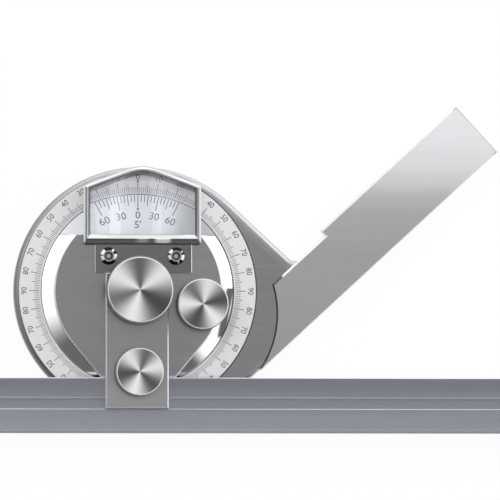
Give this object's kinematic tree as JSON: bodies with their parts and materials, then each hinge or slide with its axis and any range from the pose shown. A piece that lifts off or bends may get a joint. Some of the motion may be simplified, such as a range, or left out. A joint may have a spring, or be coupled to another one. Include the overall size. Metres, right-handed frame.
{
  "type": "bevel protractor",
  "caption": "Bevel protractor: graduated dial on a fixed arm, a swivelling turret with vernier window and fine-adjust pinion, and a sliding grooved blade held by a clamp bar and knob.",
  "frame": {"origin": "the swivel axis where it meets the flat back face", "axes": "+X along the blade towards its long end, +Z out of the dial towards the reader, +Y from the blade towards the vernier window"},
  "size_m": [0.3, 0.1062, 0.0192],
  "materials": {
    "frame_steel": "satin ground, mid grey",
    "stock_steel": "fine ground, light grey",
    "dial_satin_chrome": "satin, not mirror bright, with black graduations",
    "turret_steel": "satin ground, mid grey",
    "polished_steel": "turned, its outer bevel polished",
    "bracket_steel": "satin, dark grey",
    "bezel_chrome": "polished",
    "clamp_steel": "satin ground",
    "blade_steel": "satin ground, slightly blue grey",
    "knob_steel": "spun face with radial sheen, straight knurled side",
    "socket_screw_black": "black oxide, glossy",
    "fastener_steel": "plain",
    "inner_steel": "turned",
    "spring_steel": "rolled strip",
    "bearing_bronze": "turned bronze",
    "lens_glass": "clear, polished"
  },
  "bodies": {
    "frame": {"frame": "frame_steel", "stock": "stock_steel", "stock_screws": "fastener_steel", "stock_dowels": "inner_steel", "dial_ring": "dial_satin_chrome", "dial_screws": "fastener_steel", "ring_gear": "inner_steel", "gear_screws": "fastener_steel", "pivot_bush": "bearing_bronze", "thrust_washer": "bearing_bronze", "back_cap": "frame_steel"},
    "turret": {"centre_stud": "inner_steel", "turret_disc": "polished_steel", "turret_plate": "turret_steel", "turret_screws": "fastener_steel", "turret_dowels": "inner_steel", "vernier_plate": "dial_satin_chrome", "window_bracket": "bracket_steel", "bracket_screws": "socket_screw_black", "window_bezel": "bezel_chrome", "bezel_screws": "fastener_steel", "magnifier_lens": "lens_glass", "pinion_bush": "bearing_bronze", "clamp_stud": "inner_steel", "lift_springs": "spring_steel"},
    "pinion": {"pinion_shaft": "inner_steel", "fine_knob": "knob_steel", "knob_grub_screw": "fastener_steel"},
    "clamp_bar": {"clamp_bar": "clamp_steel"},
    "blade_knob": {"blade_knob": "knob_steel"},
    "knob_washer": {"knob_washer": "inner_steel"},
    "centre_knob": {"centre_knob": "knob_steel"},
    "blade": {"blade": "blade_steel"}
  },
  "joints": [
    {"name": "swivel", "type": "hinge", "parent": "frame", "child": "turret", "pos_m": [0, 0, 0], "axis": [0, 0, 1], "continuous": true},
    {"name": "fine_knob_turn", "type": "hinge", "parent": "turret", "child": "pinion", "pos_m": [0.02053, -0.00444, 0], "axis": [0, 0, 1], "continuous": true},
    {"name": "blade_slide", "type": "slide", "parent": "turret", "child": "blade", "axis": [1, 0, 0], "range_m": [-0.195, 0.049]},
    {"name": "clamp_lift", "type": "slide", "parent": "turret", "child": "clamp_bar", "axis": [0, 0, 1], "range_m": [0, 0.0006], "deforming": ["lift_springs"]},
    {"name": "blade_knob_turn", "type": "hinge", "parent": "clamp_bar", "child": "blade_knob", "pos_m": [0, -0.02635, 0], "axis": [0, 0, 1], "range_deg": [0, 480]},
    {"name": "knob_rise", "type": "slide", "parent": "turret", "child": "knob_washer", "axis": [0, 0, 1], "range_m": [0, 0.0005]},
    {"name": "centre_knob_turn", "type": "hinge", "parent": "knob_washer", "child": "centre_knob", "pos_m": [0, 0, 0], "axis": [0, 0, 1], "range_deg": [0, 225]}
  ],
  "couplings": [
    {"joint": "fine_knob_turn", "follows": "swivel", "ratio": -6.25},
    {"joint": "blade_knob_turn", "follows": "clamp_lift", "rad_per_m": 13963},
    {"joint": "centre_knob_turn", "follows": "knob_rise", "rad_per_m": 7853.9}
  ]
}
